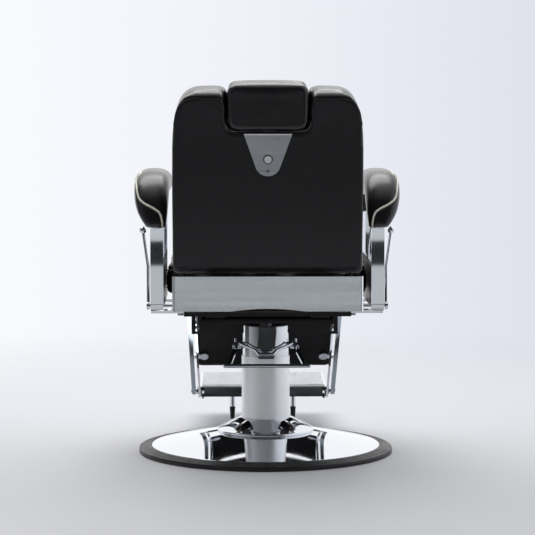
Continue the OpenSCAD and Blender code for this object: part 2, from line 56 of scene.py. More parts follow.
# ---------------------------------------------------------------- materials
def material(name, colour, metal, rough, spread=0.05, grain=40.0, tint=0.05, bump=0.0, bump_grain=600.0,
             stretch=(1, 1, 1), cells=False, **sockets):
    """A procedural finish: tone and roughness wander with one noise, and another gives the fine relief."""
    m = bpy.data.materials.new(name)
    m.use_nodes = True
    tree = m.node_tree
    shader = tree.nodes["Principled BSDF"]
    coord = tree.nodes.new("ShaderNodeTexCoord")
    mapping = tree.nodes.new("ShaderNodeMapping")
    mapping.inputs["Scale"].default_value = stretch
    tree.links.new(coord.outputs["Object"], mapping.inputs["Vector"])
    noise = tree.nodes.new("ShaderNodeTexNoise")
    noise.inputs["Scale"].default_value = grain
    noise.inputs["Detail"].default_value = 5
    tree.links.new(mapping.outputs["Vector"], noise.inputs["Vector"])
    tone = tree.nodes.new("ShaderNodeMix")
    tone.data_type = "RGBA"
    tone.inputs["A"].default_value = [c * (1 - tint) for c in colour] + [1]
    tone.inputs["B"].default_value = [min(1, c * (1 + tint)) for c in colour] + [1]
    tree.links.new(noise.outputs["Fac"], tone.inputs["Factor"])
    tree.links.new(tone.outputs["Result"], shader.inputs["Base Color"])
    dull = tree.nodes.new("ShaderNodeMapRange")
    dull.inputs["From Min"].default_value = 0.3
    dull.inputs["From Max"].default_value = 0.7
    dull.inputs["To Min"].default_value = max(0.02, rough - spread)
    dull.inputs["To Max"].default_value = rough + spread
    tree.links.new(noise.outputs["Fac"], dull.inputs["Value"])
    tree.links.new(dull.outputs["Result"], shader.inputs["Roughness"])
    shader.inputs["Metallic"].default_value = metal
    if bump:
        if cells:
            fine = tree.nodes.new("ShaderNodeTexVoronoi")
            height = fine.outputs["Distance"]
        else:
            fine = tree.nodes.new("ShaderNodeTexNoise")
            fine.inputs["Detail"].default_value = 4
            height = fine.outputs["Fac"]
        fine.inputs["Scale"].default_value = bump_grain
        tree.links.new(mapping.outputs["Vector"], fine.inputs["Vector"])
        relief = tree.nodes.new("ShaderNodeBump")
        relief.inputs["Strength"].default_value = bump
        relief.inputs["Distance"].default_value = 0.0003
        tree.links.new(height, relief.inputs["Height"])
        tree.links.new(relief.outputs["Normal"], shader.inputs["Normal"])
    for key, value in sockets.items():
        shader.inputs[key.replace("_", " ")].default_value = value
    return m


MAT = {
    "chrome": material("chrome", (0.82, 0.84, 0.88), 1.0, 0.05, 0.015, 22, 0.02, 0.02, 300),
    "band": material("plated_band", (0.82, 0.84, 0.88), 1.0, 0.024, 0.004, 22, 0.02),
    "apron": material("satin_sheet", (0.90, 0.925, 0.955), 1.0, 0.13, 0.03, 9, 0.04, 0.05, 900, (0.2, 1, 6)),
    "mirror": material("plated_shroud", (0.70, 0.72, 0.75), 1.0, 0.05, 0.015, 20, 0.03, 0.02, 300),
    # the leg rest arms: a dark blue-grey metal, darker than the chrome
    "arms": material("darker_arms_metal", (0.36, 0.40, 0.44), 1.0, 0.14, 0.04, 22, 0.05, 0.03, 300),
    # painted reflection: the footrest bar's dark, strongly mottled tone stands for the dark, mottled reflection on its
    # face
    "dark_bar": material("plate_painted_reflection", (0.16, 0.165, 0.17), 1.0, 0.20, 0.07, 26, 0.25, 0.05, 300),
    "satin_steel": material("satin_column", (0.95, 0.98, 1.0), 0.62, 0.34, 0.05, 14, 0.04, 0.06, 700, (5, 5, 0.25)),
    "ram_steel": material("bright_steel", (0.62, 0.64, 0.67), 1.0, 0.20, 0.05, 60, 0.06, 0.05, 500),
    "brushed_steel": material("brushed_plate", (0.80, 0.82, 0.86), 1.0, 0.33, 0.06, 30, 0.08, 0.12, 500,
                              (0.15, 1, 6)),
    "black_steel": material("black_paint", (0.006, 0.006, 0.007), 0.0, 0.33, 0.07, 35, 0.2, 0.10, 450),
    "rubber": material("rubber", (0.006, 0.006, 0.0065), 0.0, 0.40, 0.08, 50, 0.15, 0.25, 700),
    "leather": material("leather", (0.0040, 0.0040, 0.0050), 0.0, 0.36, 0.05, 45, 0.15, 0.25, 850, cells=True,
                        Coat_Weight=0.45, Coat_Roughness=0.27),
    # painted shade: a darker, duller copy of the leather for the leg rest pad, standing for the shade the pad sits in
    # under the seat
    "leather_painted_shade": material("leather_in_painted_shade", (0.0022, 0.0022, 0.0027), 0.0, 0.5, 0.05, 45, 0.15, 0.25, 850,
                            cells=True, Specular_IOR_Level=0.25),
    "wood": material("plywood", (0.42, 0.28, 0.15), 0.0, 0.62, 0.08, 16, 0.22, 0.3, 160, (0.4, 3, 3)),
    "bronze": material("bronze", (0.56, 0.40, 0.20), 1.0, 0.34, 0.08, 60, 0.1, 0.08, 500),
    "tread": material("tread_metal", (0.86, 0.87, 0.90), 0.75, 0.32, 0.07, 26, 0.08, 0.15, 500),
    "piping": material("piping", (0.74, 0.72, 0.62), 0.0, 0.45, 0.06, 80, 0.06, 0.2, 900, cells=True),
    "stitching": material("stitching", (0.10, 0.10, 0.11), 0.0, 0.6, 0.08, 300, 0.15, 0.2, 2500),
}
NODE_MATERIALS = {
    "chrome": "base_cover base_collar pedal_yoke pedal_arms arm_brackets "
              "recline_levers lever_knobs headrest_post footrest_posts leg_struts",
    "band": "arm_band_left arm_band_right",
    "apron": "rear_apron",
    "arms": "legrest_arms",
    "dark_bar": "footrest_bar",
    "mirror": "pump_shroud",
    "satin_steel": "column_tube release_button",
    "ram_steel": "ram_rod ram_flange plate_screw pedal_bar hinge_pins frame_bolts lever_shaft tilt_pin legrest_shaft "
                 "pump_cylinder pedal_pins",
    "brushed_steel": "headrest_plate pad_brackets",
    "black_steel": "base_disc shroud_cap oil_reservoir piston_head swivel_socket swivel_plate side_rails pivot_lugs "
                   "front_plate rear_crossbar side_panels hinge_brackets back_arms post_guide headrest_bracket "
                   "push_rods",
    "rubber": "base_ring post_tips",
    "leather": "seat_cushion arm_pad_left arm_pad_right back_cushion back_panel headrest_pad legrest_pad",
    "wood": "seat_board back_board",
    "bronze": "cylinder_gland",
    "tread": "tread_plate",
}
for key, names in NODE_MATERIALS.items():
    for n in names.split():
        nodes[n].data.materials.clear()
        nodes[n].data.materials.append(MAT[key])


# ---------------------------------------------------------------- mesh helpers
def mesh_object(name, verts, faces, mat, smooth=True):
    me = bpy.data.meshes.new(name)
    me.from_pydata([tuple(v) for v in verts], [], faces)
    me.validate()
    o = bpy.data.objects.new(name, me)
    scene.collection.objects.link(o)
    b = bmesh.new()
    b.from_mesh(me)
    bmesh.ops.recalc_face_normals(b, faces=b.faces)
    b.to_mesh(me)
    b.free()
    if smooth:
        me.polygons.foreach_set("use_smooth", [True] * len(me.polygons))
    me.materials.append(MAT[mat])
    return o


def join(name, parts):
    """Several objects as one."""
    verts, faces = [], []
    for o in parts:
        base = len(verts)
        verts += [tuple(v.co) for v in o.data.vertices]
        faces += [[base + i for i in p.vertices] for p in o.data.polygons]
        mat = o.data.materials[0]
        bpy.data.objects.remove(o)
    o = mesh_object(name, verts, faces, "leather")
    o.data.materials[0] = mat
    return o


def rounded(points, radius, steps=5):
    """An outline with its corners rounded; radius is one number or one for each corner."""
    out = []
    n = len(points)
    for i, p in enumerate(points):
        r = radius[i] if isinstance(radius, (list, tuple)) else radius
        p = Vector(p)
        a = (Vector(points[i - 1]) - p)
        b = (Vector(points[(i + 1) % n]) - p)
        reach_a = min(r, a.length * 0.49)
        reach_b = min(r, b.length * 0.49)
        if r <= 0:
            out.append(p)
            continue
        s, e = p + a.normalized() * reach_a, p + b.normalized() * reach_b
        for k in range(steps + 1):
            t = k / steps
            out.append(s * (1 - t) ** 2 + p * 2 * t * (1 - t) + e * t * t)
    return out


def prism(name, outline, low, high, turn=FLAT, mat="leather"):
    """An outline [u, w] pushed along the third axis. With turn=FLAT that axis is Z, else it is the local Y."""
    n = len(outline)
    if turn is FLAT:
        verts = [(p[0], p[1], low) for p in outline] + [(p[0], p[1], high) for p in outline]
    else:
        verts = [(p[0], low, p[1]) for p in outline] + [(p[0], high, p[1]) for p in outline]
    faces = [list(range(n)), list(range(n, 2 * n))]
    faces += [[i, (i + 1) % n, n + (i + 1) % n, n + i] for i in range(n)]
    return mesh_object(name, [Vector(v) * MM for v in verts], faces, mat)


def apply_all(o):
    deps = bpy.context.evaluated_depsgraph_get()
    me = bpy.data.meshes.new_from_object(o.evaluated_get(deps))
    mats = list(o.data.materials)
    o.modifiers.clear()
    o.data = me
    me.materials.clear()
    for m in mats:
        me.materials.append(m)
    me.polygons.foreach_set("use_smooth", [True] * len(me.polygons))
    return o


def remesh(o, bevel, voxel, relax=3):
    if bevel:
        m = o.modifiers.new("edge", "BEVEL")
        m.width = bevel * MM
        m.segments = 5
        m.limit_method = "ANGLE"
        m.angle_limit = math.radians(50)
    m = o.modifiers.new("voxels", "REMESH")
    m.mode = "VOXEL"
    m.voxel_size = voxel * MM
    if relax:
        m = o.modifiers.new("relax", "SMOOTH")
        m.factor = 0.5
        m.iterations = relax
    return apply_all(o)


def puff(o, pinned, pressure=4.0, cap=9.0, shrink=-0.02, bend=6.0):
    """Fills a pad: the cover is blown up a little, with the points that pinned() names held still."""
    group = o.vertex_groups.new(name="pin")
    for v in o.data.vertices:
        group.add([v.index], max(0.0, min(1.0, pinned(v.co))), "REPLACE")
    m = o.modifiers.new("cover", "CLOTH")
    c = m.settings
    c.quality = 5
    c.mass = 0.3
    c.tension_stiffness = c.compression_stiffness = 22
    c.shear_stiffness = 8
    c.bending_stiffness = bend
    c.use_pressure = True
    c.uniform_pressure_force = pressure
    c.effector_weights.gravity = 0
    c.vertex_group_mass = "pin"
    c.shrink_min = shrink
    m.collision_settings.use_collision = False
    m.point_cache.frame_start = 1
    m.point_cache.frame_end = 20
    for f in range(1, 21):
        scene.frame_set(f)
    deps = bpy.context.evaluated_depsgraph_get()
    done = [v.co.copy() for v in o.evaluated_get(deps).data.vertices]
    o.modifiers.clear()
    for v, q in zip(o.data.vertices, done):
        d = q - v.co
        v.co += d * min(1.0, cap * MM / max(d.length, 1e-9))
    scene.frame_set(1)
    o.vertex_groups.clear()
    return o


def finer(o):
    m = o.modifiers.new("finer", "SUBSURF")
    m.levels = m.render_levels = 1
    return apply_all(o)


def tree_of(o):
    return BVHTree.FromPolygons([v.co for v in o.data.vertices], [p.vertices[:] for p in o.data.polygons])


def smooth_path(points, step):
    """Points along a Catmull-Rom curve through these, about one step apart."""
    p = [Vector(q) for q in points]
    p = [p[0] * 2 - p[1]] + p + [p[-1] * 2 - p[-2]]
    out = []
    for i in range(1, len(p) - 2):
        n = max(1, round((p[i + 1] - p[i]).length / step))
        for k in range(n):
            t = k / n
            a, b, c, d = p[i - 1], p[i], p[i + 1], p[i + 2]
            out.append(0.5 * (2 * b + (c - a) * t + (2 * a - 5 * b + 4 * c - d) * t * t
                              + (3 * b - a - 3 * c + d) * t ** 3))
    return out + [p[-2]]


def on_surface(tree, points, lift):
    out = []
    for q in points:
        hit, normal, _, _ = tree.find_nearest(q)
        out.append(hit + normal * lift)
    return out


def relaxed(points, times=2, closed=False):
    for _ in range(times):
        q = list(points)
        for i in range(len(points)):
            if closed or 0 < i < len(points) - 1:
                points[i] = (q[i - 1] + q[i] * 2 + q[(i + 1) % len(q)]) / 4
    return points


def tube(name, points, radius, mat, closed=False, sides=10):
    """A round cord through the points, its ring turned as little as it can be from one to the next."""
    n = len(points)
    ring, verts, faces = None, [], []
    for i in range(n):
        if closed:
            t = (points[(i + 1) % n] - points[i - 1]).normalized()
        else:
            t = (points[min(i + 1, n - 1)] - points[max(i - 1, 0)]).normalized()
        if ring is None:
            ring = t.orthogonal().normalized()
        ring = (ring - t * ring.dot(t)).normalized()
        other = t.cross(ring)
        for k in range(sides):
            a = 2 * math.pi * k / sides
            verts.append(points[i] + (ring * math.cos(a) + other * math.sin(a)) * radius)
    for i in range(n if closed else n - 1):
        j = (i + 1) % n
        for k in range(sides):
            faces.append([i * sides + k, i * sides + (k + 1) % sides, j * sides + (k + 1) % sides, j * sides + k])
    if not closed:
        faces += [list(range(sides)), list(range((n - 1) * sides, n * sides))]
    return mesh_object(name, verts, faces, mat)


def press_seam(o, points, depth, width):
    """Draws the cover in along a seam."""
    step = max(1, len(points) // 400)
    line = [Vector(q) for q in points[::step]]
    kd = KDTree(len(line))
    for i, q in enumerate(line):
        kd.insert(q, i)
    kd.balance()
    o.data.update()
    normals = [v.normal.copy() for v in o.data.vertices]
    for v, nrm in zip(o.data.vertices, normals):
        _, _, d = kd.find(v.co)
        if d < width * 3 * MM:
            v.co -= nrm * depth * MM * math.exp(-(d / (width * MM)) ** 2)
    o.data.update()


def stitches(name, points, normals, length=3.2, gap=2.2, radius=0.45, mat="stitching"):
    """Short raised stitches along a line on a surface."""
    verts, faces = [], []
    since = 0.0
    for i in range(1, len(points)):
        a, b = points[i - 1], points[i]
        d = (b - a).length
        since += d
        if since >= (length + gap) * MM:
            since = 0.0
            t = (b - a).normalized()
            nrm = normals[i]
            side = t.cross(nrm).normalized()
            c = b + nrm * radius * 0.4 * MM
            base = len(verts)
            for s, w in ((-0.5, 0.55), (-0.25, 1), (0.25, 1), (0.5, 0.55)):
                for k in range(6):
                    ang = math.pi * 2 * k / 6
                    verts.append(c + t * s * length * MM
                                 + (side * math.cos(ang) + nrm * math.sin(ang)) * radius * w * MM)
            for r in range(3):
                for k in range(6):
                    faces.append([base + r * 6 + k, base + r * 6 + (k + 1) % 6,
                                  base + r * 6 + 6 + (k + 1) % 6, base + r * 6 + 6 + k])
            faces += [[base + k for k in range(6)], [base + 18 + k for k in range(6)]]
    return mesh_object(name, verts, faces, mat)


def place(o, turn):
    o.data.transform(turn)
    o.data.update()
    return o


def dress(o, body, replaces=()):
    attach(o, body)
    if replaces:
        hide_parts(*replaces)
    return o


def lathe(name, profile, mat, steps=160, closed=True):
    """A profile [r, z] in mm turned about Z."""
    verts, faces = [], []
    n = len(profile)
    for s in range(steps):
        a = 2 * math.pi * s / steps
        verts += [Vector((r * math.cos(a), r * math.sin(a), z)) * MM for r, z in profile]
    for s in range(steps):
        t = (s + 1) % steps
        for i in range(n if closed else n - 1):
            j = (i + 1) % n
            faces.append([s * n + i, t * n + i, t * n + j, s * n + j])
    return mesh_object(name, verts, faces, mat)


# ---------------------------------------------------------------- base: smooth turned shells
COVER_IN, COVER_R, COVER_EDGE, COVER_TOP = 118.0, 311.5, 19.0, 57.0


def cover_z(r):
    return COVER_EDGE + (COVER_TOP - COVER_EDGE) * (1 - max(0, (r - COVER_IN) / (COVER_R - COVER_IN)) ** 1.15)


COVER_SHEET = 2.6
top_radii = [COVER_IN + (COVER_R - COVER_IN) * i / 60 for i in range(61)]
top = [[r, cover_z(r)] for r in top_radii]
under = [[r, z - COVER_SHEET] for r, z in reversed(top[:-1])]
cover = lathe("cover_shell", top + [[COVER_R, 17.6], [COVER_R - 2, 16.4]] + under, "chrome", 192)
dress(cover, "base", ["base_cover"])

collar_profile = [[130.5, 55.6], [131, 57.5], [131, 60.8], [130, 62.6], [127.6, 63.8]]
for i in range(1, 17):
    t = i / 16
    collar_profile.append([127.6 - (127.6 - 76) * t, 63.8 + (91.5 - 63.8) * (t ** 0.92)])
collar_profile += [[73, 92.8], [69.6, 93.8], [67.2, 94], [65.8, 93.6], [65.8, 90.5], [74, 87], [124, 59],
                   [124.6, 56.3]]
collar = lathe("collar_shell", collar_profile, "chrome", 160)
dress(collar, "base", ["base_collar"])

RIB_H, RIBS = 1.7, 3
ring_profile = [[306.2, 0.2], [344.0, 0.2], [345.0, 1.2], [345.0, 10.4]]
for i in range(1, 49):
    t = i / 49
    lift = RIB_H * max(0.0, math.sin(t * math.pi * 2 * RIBS)) ** 0.7
    ring_profile.append([345 - 33.2 * t, 11 + 8 * t + lift])
ring_profile += [[311.6, 19.4], [311.6, 6.2], [306.2, 6.2]]
ring = lathe("ring_rubber", ring_profile, "rubber", 192)
dress(ring, "base", ["base_ring"])

# ---------------------------------------------------------------- seat
seat_line = rounded([(-266, -296), (266, -296), (266, 168), (-266, 168)], [46, 46, 30, 30], 8)
seat = prism("seat_pad", seat_line, 444, 524)
remesh(seat, 16, 6.0)
puff(seat, lambda c: 1.0 if c.z < 0.452 else 0.0, cap=11)
finer(seat)
edge = smooth_path([Vector((p[0], p[1], 0)) * MM for p in seat_line + seat_line[:1]], 0.006)[:-1]
seat_tree = tree_of(seat)
# the welts start on a line outside the pad, and each point then drops onto the pad's nearest spot
WELT_HEIGHTS = (0.511, 0.458)
WELT_OUT, WELT_SHIFT = 1.1, 0.0064
welts = []
for height in WELT_HEIGHTS:
    line = [Vector((q.x * WELT_OUT, q.y * WELT_OUT + WELT_SHIFT, height)) for q in edge]
    welts.append(relaxed(on_surface(seat_tree, line, -0.0004), 4, True))
for line in welts:
    press_seam(seat, line, 2.6, 6)
seat_tree = tree_of(seat)
seat_welts = [tube("welt", relaxed(on_surface(seat_tree, line, 0.0008), 3, True), 0.0026, "leather", True)
              for line in welts]
dress(seat, "seat", ["seat_cushion"])
dress(join("seat_welts", seat_welts), "seat")


# ---------------------------------------------------------------- backrest
def whole(half):
    """An outline from its right half, which starts and ends on the middle line."""
    return smooth_2d(half) + [Vector((-p[0], p[1])) for p in reversed(smooth_2d(half)[1:-1])]


def smooth_2d(points):
    """A few more points between these, along the same curve."""
    return [Vector((q.x, q.y)) for q in smooth_path([Vector((*p, 0)) for p in points], 8)]


SIDE = [(0, 15), (120, 15), (228, 15), (240, 17), (245, 24), (245.6, 45), (245.6, 180), (245.6, 300), (244.4, 365),
        (241.5, 402), (237, 430), (230.5, 449), (220.5, 462), (207, 469.5), (190, 472), (160, 472.8), (130, 472.5),
        (119, 469.5), (112.5, 462), (110, 447), (110, 412), (107, 397), (100, 389), (88, 385.5), (45, 385.5),
        (0, 385.5)]
FACE = [(0, 18), (120, 18), (226, 18), (237, 22), (241, 34), (241.5, 180), (241, 340), (239, 395), (235, 430),
        (227, 457), (213, 477), (192, 489), (172, 492), (150, 493), (130, 493)]
WIDE_NOTCH = [(119, 490), (113.5, 480), (112, 460), (112, 412), (108, 397), (98, 389), (84, 387), (40, 387), (0, 387)]
TIGHT_NOTCH = [(116, 490), (107, 483), (104.5, 468), (104, 408), (101, 398), (94, 391), (80, 389),
               (40, 389), (0, 389)]
ROLL = [(113.5, 455), (180, 450), (229, 441), (232, 448), (222, 464), (207, 480), (190, 487), (172, 490), (150, 491),
        (132, 491.5), (121, 488), (114, 478)]

parts = [prism("face", whole(FACE + WIDE_NOTCH), -14, 9, BACK),
         prism("face", whole(FACE + TIGHT_NOTCH), -58, -11, BACK)]
for s in (1, -1):
    for depth, drop in ((36, 13), (31, 8), (24, 4), (16, 0.5)):
        parts.append(prism("roll", [(s * x, min(z, 491.5 - drop)) for x, z in ROLL], 3, depth, BACK))
cushion = join("back_pad", parts)
remesh(cushion, 9, 5.0, 7)
puff(cushion, lambda c: 1.0 if c.z < 0.450 and (c.y > 0.0 or abs(c.x) < 0.112 and c.z > 0.38) else 0.0, cap=6,
     shrink=-0.01)
finer(cushion)
for v in cushion.data.vertices:
    c = v.co
    if c.z > 0.462 and 0.104 < abs(c.x) < 0.150 and c.y > -0.045:
        t = max(0.0, (abs(c.x) - 0.112) / 0.036)
        v.co.z += 0.0008 * (1 - t) * math.sin(abs(c.x) * 2 * math.pi / 0.0068)
cushion_tree = tree_of(cushion)
threads = []
for s in (1, -1):
    for x in (0.1185, 0.1262):
        line, up = [], []
        for i in range(60):
            a = math.radians(-20 + 150 * i / 59)
            eye = Vector((s * x, 0.008, 0.462))
            ray = Vector((0, math.cos(a), math.sin(a)))
            hit, nrm, _, _ = cushion_tree.ray_cast(eye + ray * 0.09, -ray)
            if hit:
                line.append(hit)
                up.append(nrm)
        threads.append(stitches("stitch", line, up))
place(cushion, BACK)
dress(cushion, "backrest", ["back_cushion"])
dress(place(join("bolster_stitching", threads), BACK), "backrest")

panel = prism("back_panel_pad", whole(SIDE), 11, 37.5, BACK)
remesh(panel, 6, 5.0, 2)
puff(panel, lambda c: 1.0 if c.y < 0.024 else 0.0, cap=1.1, pressure=2, shrink=0.0, bend=20)
finer(panel)
LINING_SIDE = [(118, 388), (118, 474), (103.7, 474), (103.7, 410), (101.5, 400), (95, 393.5), (84, 389), (84, 386)]
lining = [prism("sill", [(-118, 380), (118, 380), (118, 389), (-118, 389)], -24, -20, BACK)]
for s in (1, -1):
    lining.append(prism("side", [(s * x, z) for x, z in LINING_SIDE], -24, -20, BACK))
dress(place(join("notch_lining", lining), BACK), "backrest")
panel_tree = tree_of(panel)
beads = []
for s in (1, -1):
    line = smooth_path([Vector((s * x, 36.0, z)) * MM for x, z in
                        [(117, 466), (122, 470.5), (132, 472.5), (160, 473), (190, 472), (207, 469.5), (220.5, 462),
                         (230.5, 449), (237, 430), (241, 404)]], 0.004)
    beads.append(tube("bead", relaxed(on_surface(panel_tree, line, 0.0006), 3), 0.0015, "leather"))
place(panel, BACK)
dress(panel, "backrest", ["back_panel"])
dress(place(join("panel_welt", beads), BACK), "backrest")

HEAD = [(0, 387), (60, 387), (82, 388.5), (96.5, 395), (102.5, 409), (104.6, 436), (105, 466), (104.2, 488), (98, 501),
        (86, 507), (60, 508.5), (0, 509)]
HEAD_FRONT = [(min(x, 101.5), z + (5 if z < 400 else 0)) for x, z in HEAD]
head = join("headrest_pad_soft", [
    prism("rear", whole(HEAD), -9, 41, BACK),
    prism("front", whole(HEAD_FRONT), -50, -6, BACK)])
remesh(head, 20, 5.0, 5)
puff(head, lambda c: 1.0 if c.z < 0.440 and abs(c.x) < 0.06 and c.y > -0.02 else 0.0, cap=3, pressure=3, shrink=0.0,
     bend=12)
finer(head)
place(head, BACK)
dress(head, "headrest", ["headrest_pad"])

# partly real, partly painted highlight: a rolled lip along the top of the headrest plate, given the brighter satin
# finish so that it shows as a light band
lip = tube("plate_lip", [Vector((x, 43.4, 380.6)) * MM for x in range(-61, 62, 2)], 0.0015, "satin_steel")
dress(place(lip, BACK), "backrest")
# painted shade: a thin black ring around the release button stands for the dark recess it sits in
ring_line = [Vector((11 * math.cos(a * math.pi / 24), 42.9, 316 + 11 * math.sin(a * math.pi / 24))) * MM
             for a in range(48)]
dress(place(tube("button_recess", ring_line, 0.0014, "black_steel", True), BACK), "backrest")


# ---------------------------------------------------------------- arm pads
# rings along the pad: y, z of the centre line, inner x, outer x, half thickness
ARM_RINGS = [(-186, 726, 278, 314, 14), (-176, 727, 268, 325, 24), (-150, 729, 260, 335, 31),
             (-90, 731, 254.5, 343, 35), (0, 733, 253.5, 347, 37.5), (110, 733, 253.5, 348, 38),
             (178, 730, 254, 348, 37.5),
             (216, 717, 255, 347, 35), (240, 695, 256.5, 344.5, 31), (257, 668, 258.5, 337, 25),
             (267, 645, 261, 325, 20), (271, 628, 263, 313, 17)]


def arm_pad(side):
    steps = 36
    last = len(ARM_RINGS) - 1
    between = 5
    verts, faces = [], []
    centres = [i + k / between for i in range(last) for k in range(between)] + [last]

    def at(j, f):
        """Catmull-Rom value of column f at position j."""
        i = min(int(j), len(ARM_RINGS) - 2)
        t = j - i
        g = [ARM_RINGS[max(0, min(len(ARM_RINGS) - 1, i + o))][f] for o in (-1, 0, 1, 2)]
        return 0.5 * (2 * g[1] + (g[2] - g[0]) * t + (2 * g[0] - 5 * g[1] + 4 * g[2] - g[3]) * t * t
                      + (3 * g[1] - g[0] - 3 * g[2] + g[3]) * t ** 3)

    for j in centres:
        y, z, x0, x1, th = (at(j, f) for f in range(5))
        e = 0.05
        dy = at(min(j + e, last), 0) - at(max(j - e, 0), 0)
        dz = at(min(j + e, last), 1) - at(max(j - e, 0), 1)
        size = math.hypot(dy, dz)
        ny, nz = -dz / size, dy / size
        xc, xr = (x0 + x1) / 2, (x1 - x0) / 2
        for k in range(steps):
            a = 2 * math.pi * k / steps
            ca, sa = math.cos(a), math.sin(a)
            px = math.copysign(abs(ca) ** 0.72, ca) * xr
            pn = math.copysign(abs(sa) ** 0.80, sa) * th
            verts.append(Vector((side * (xc + px), y + ny * pn, z + nz * pn)) * MM)
    rows = len(centres)
    for i in range(rows - 1):
        for k in range(steps):
            m = (k + 1) % steps
            faces.append([i * steps + k, i * steps + m, (i + 1) * steps + m, (i + 1) * steps + k])
    faces += [list(range(steps)), list(range((rows - 1) * steps, rows * steps))]
    o = mesh_object("arm_pad_soft", verts, faces, "leather")
    o.name = "arm_pad_soft_" + ("left" if side > 0 else "right")
    remesh(o, 0, 5.0, 3)
    puff(o, lambda c: 1.0 if c.z < 0.632 or (c.z < 0.702 and c.y < 0.15) else 0.0, cap=2.5, pressure=3, shrink=-0.008)
    finer(o)
    tree = tree_of(o)
    line = []
    seam_at = math.radians(52)
    for y in range(-150, 190, 12):
        start = Vector((side * (306 + 260 * math.cos(seam_at)), y, 733 + 260 * math.sin(seam_at))) * MM
        aim = Vector((side * 306, y, 733)) * MM - start
        line.append(tree.ray_cast(start, aim.normalized())[0])
    for x, z in PIPE:
        hit = tree.ray_cast(Vector((side * x, 500, z)) * MM, Vector((0, -1, 0)))[0]
        if hit:
            line.append(hit)
    line = [q for q in line if q]
    line = smooth_path(line, 0.003)
    line = relaxed(on_surface(tree, relaxed(line, 6), 0), 3)
    press_seam(o, line, 2.2, 4.5)
    tree = tree_of(o)
    pipe = tube("arm_piping_" + ("left" if side > 0 else "right"),
                relaxed(on_surface(tree, line, 0.0010), 2), 0.0027, "piping")
    dress(o, "seat", ["arm_pad_left" if side > 0 else "arm_pad_right"])
    dress(pipe, "seat")


# where the piping runs across the pad's rear end: x and z
PIPE = [(343.0, 749.7), (340.6, 734.9), (337.1, 714.8), (332.7, 702.3), (323.3, 694.2), (310.4, 686.7),
        (295.3, 679.4), (282.8, 671.8), (276.1, 662.4), (273.0, 649.9), (272.5, 631)]
arm_pad(1)
arm_pad(-1)

RIVET_X, RIVET_Z, RIVET_R = 286.75, 571, 2.6
rivets = []
for side in (1, -1):
    circle = [(side * RIVET_X + RIVET_R * math.cos(a * math.pi / 8), RIVET_Z + RIVET_R * math.sin(a * math.pi / 8))
              for a in range(16)]
    rivets.append(prism("rivet", circle, 279.5, 281.2, None, "black_steel"))
dress(join("band_rivets", rivets), "seat")

# ---------------------------------------------------------------- leg rest
leg_line = rounded([(-194, 57), (194, 57), (193, 259), (-193, 259)], 18, 6)
# painted shade: the leg rest pad takes the darker copy of the leather
leg = prism("leg_pad_soft", leg_line, 10, 42, LEG, "leather_painted_shade")
remesh(leg, 10, 5.0, 3)
puff(leg, lambda c: 1.0 if c.y < 0.014 else 0.0, cap=6)
finer(leg)
place(leg, LEG)
dress(leg, "legrest", ["legrest_pad"])


# ---------------------------------------------------------------- set
def floor_material():
    m = bpy.data.materials.new("floor")
    m.use_nodes = True
    t = m.node_tree
    shader, out = t.nodes["Principled BSDF"], t.nodes["Material Output"]
    coord = t.nodes.new("ShaderNodeTexCoord")
    noise = t.nodes.new("ShaderNodeTexNoise")
    noise.inputs["Scale"].default_value = 1.3
    noise.inputs["Detail"].default_value = 6
    t.links.new(coord.outputs["Object"], noise.inputs["Vector"])
    split = t.nodes.new("ShaderNodeSeparateXYZ")
    t.links.new(coord.outputs["Object"], split.inputs[0])
    # painted shade: the floor's colour darkens towards the camera, from the pale tone behind the chair to the grey one
    # in front; the noise only adds random patches
    near = t.nodes.new("ShaderNodeMapRange")
    near.inputs["From Min"].default_value = 1.25
    near.inputs["From Max"].default_value = -1.9
    t.links.new(split.outputs["Y"], near.inputs["Value"])
    patch = t.nodes.new("ShaderNodeMath")
    patch.operation = "MULTIPLY_ADD"
    patch.inputs[1].default_value = 0.10
    patch.inputs[2].default_value = -0.05
    t.links.new(noise.outputs["Fac"], patch.inputs[0])
    total = t.nodes.new("ShaderNodeMath")
    t.links.new(near.outputs["Result"], total.inputs[0])
    t.links.new(patch.outputs[0], total.inputs[1])
    mix = t.nodes.new("ShaderNodeMix")
    mix.data_type = "RGBA"
    mix.inputs["A"].default_value = (0.53, 0.535, 0.555, 1)
    mix.inputs["B"].default_value = (0.78, 0.785, 0.82, 1)
    t.links.new(total.outputs[0], mix.inputs["Factor"])
    t.links.new(mix.outputs["Result"], shader.inputs["Base Color"])
    shader.inputs["Roughness"].default_value = 0.75
    length = t.nodes.new("ShaderNodeVectorMath")
    length.operation = "LENGTH"
    t.links.new(coord.outputs["Object"], length.inputs[0])
    fade = t.nodes.new("ShaderNodeMapRange")
    fade.interpolation_type = "SMOOTHERSTEP"
    fade.inputs["From Min"].default_value = 0.55
    fade.inputs["From Max"].default_value = 3.4
    t.links.new(length.outputs["Value"], fade.inputs["Value"])
    clear = t.nodes.new("ShaderNodeBsdfTransparent")
    both = t.nodes.new("ShaderNodeMixShader")
    t.links.new(fade.outputs["Result"], both.inputs[0])
    t.links.new(shader.outputs[0], both.inputs[1])
    t.links.new(clear.outputs[0], both.inputs[2])
    t.links.new(both.outputs[0], out.inputs["Surface"])
    return m


me = bpy.data.meshes.new("floor")
disc = [(4.4 * math.cos(2 * math.pi * i / 96), 4.4 * math.sin(2 * math.pi * i / 96), -0.0004) for i in range(96)]
me.from_pydata(disc, [], [list(range(96))])
floor = bpy.data.objects.new("floor", me)
scene.collection.objects.link(floor)
me.materials.append(floor_material())


